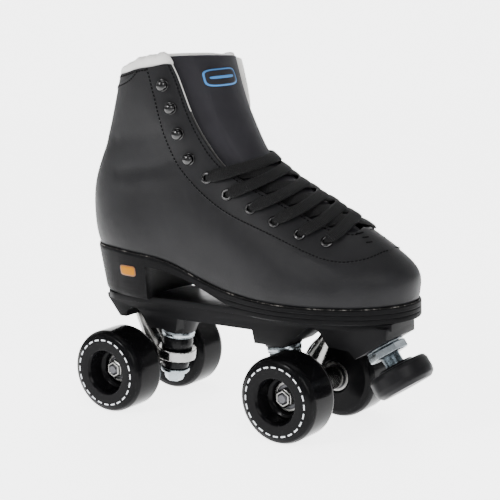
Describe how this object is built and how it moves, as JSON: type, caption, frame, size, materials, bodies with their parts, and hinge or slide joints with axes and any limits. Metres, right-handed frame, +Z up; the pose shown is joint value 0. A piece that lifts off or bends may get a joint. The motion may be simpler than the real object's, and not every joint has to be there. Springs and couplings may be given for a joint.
{
  "type": "quad roller skate",
  "caption": "Lace-up ankle boot on a plate with two trucks, four free-spinning wheels and a toe stop.",
  "frame": {"origin": "on the floor, below the middle of the skate's box", "axes": "+X towards the toe, +Y towards the inner side of a right foot, +Z up"},
  "size_m": [0.285, 0.1078, 0.2655],
  "materials": {
    "upper_leather": "matte smooth",
    "tongue_padding": "matte padded",
    "insole_felt": "felt",
    "sole_rubber": "satin",
    "black_nylon": "satin",
    "polished_aluminium": "polished casting",
    "bright_zinc": "bright zinc plate",
    "bearing_steel": "bright",
    "black_urethane": "gloss",
    "cushion_rubber": "gloss",
    "stop_rubber": "satin",
    "black_cord": "ribbed weave",
    "black_gloss_metal": "gloss"
  },
  "bodies": {
    "skate": {"upper": "upper_leather", "tongue": "tongue_padding", "insole": "insole_felt", "sole_unit": "sole_rubber", "lace": "black_cord", "plate": "black_nylon", "eyelet_lateral_1": "black_gloss_metal", "eyelet_lateral_2": "black_gloss_metal", "eyelet_lateral_3": "black_gloss_metal", "eyelet_lateral_4": "black_gloss_metal", "eyelet_lateral_5": "black_gloss_metal", "eyelet_lateral_6": "black_gloss_metal", "hook_lateral_1": "black_gloss_metal", "hook_lateral_2": "black_gloss_metal", "hook_lateral_3": "black_gloss_metal", "hook_lateral_4": "black_gloss_metal", "eyelet_medial_1": "black_gloss_metal", "eyelet_medial_2": "black_gloss_metal", "eyelet_medial_3": "black_gloss_metal", "eyelet_medial_4": "black_gloss_metal", "eyelet_medial_5": "black_gloss_metal", "eyelet_medial_6": "black_gloss_metal", "hook_medial_1": "black_gloss_metal", "hook_medial_2": "black_gloss_metal", "hook_medial_3": "black_gloss_metal", "hook_medial_4": "black_gloss_metal", "hanger_rear": "polished_aluminium", "axle_rear": "bright_zinc", "kingpin_rear": "bright_zinc", "kingpin_cup_rear": "bright_zinc", "cushion_upper_rear": "cushion_rubber", "cushion_lower_rear": "cushion_rubber", "kingpin_washer_rear": "bright_zinc", "hanger_front": "polished_aluminium", "axle_front": "bright_zinc", "kingpin_front": "bright_zinc", "kingpin_cup_front": "bright_zinc", "cushion_upper_front": "cushion_rubber", "cushion_lower_front": "cushion_rubber", "kingpin_washer_front": "bright_zinc", "axle_nut_rear_lateral": "bright_zinc", "axle_nut_rear_medial": "bright_zinc", "axle_nut_front_lateral": "bright_zinc", "axle_nut_front_medial": "bright_zinc", "toe_stop": "stop_rubber", "toe_stop_stem": "bright_zinc", "toe_stop_washer": "bright_zinc", "toe_stop_nut": "bright_zinc"},
    "rear_lateral_wheel": {"wheel_rear_lateral": "black_urethane", "bearing_inner_rear_lateral": "bearing_steel", "bearing_outer_rear_lateral": "bearing_steel"},
    "rear_medial_wheel": {"wheel_rear_medial": "black_urethane", "bearing_inner_rear_medial": "bearing_steel", "bearing_outer_rear_medial": "bearing_steel"},
    "front_lateral_wheel": {"wheel_front_lateral": "black_urethane", "bearing_inner_front_lateral": "bearing_steel", "bearing_outer_front_lateral": "bearing_steel"},
    "front_medial_wheel": {"wheel_front_medial": "black_urethane", "bearing_inner_front_medial": "bearing_steel", "bearing_outer_front_medial": "bearing_steel"}
  },
  "joints": [
    {"name": "rear_lateral_spin", "type": "hinge", "parent": "skate", "child": "rear_lateral_wheel", "pos_m": [-0.10312, -0.0378, 0.031], "axis": [0, 1, 0], "continuous": true},
    {"name": "rear_medial_spin", "type": "hinge", "parent": "skate", "child": "rear_medial_wheel", "pos_m": [-0.10312, 0.0378, 0.031], "axis": [0, 1, 0], "continuous": true},
    {"name": "front_lateral_spin", "type": "hinge", "parent": "skate", "child": "front_lateral_wheel", "pos_m": [0.05138, -0.0378, 0.031], "axis": [0, 1, 0], "continuous": true},
    {"name": "front_medial_spin", "type": "hinge", "parent": "skate", "child": "front_medial_wheel", "pos_m": [0.05138, 0.0378, 0.031], "axis": [0, 1, 0], "continuous": true}
  ]
}
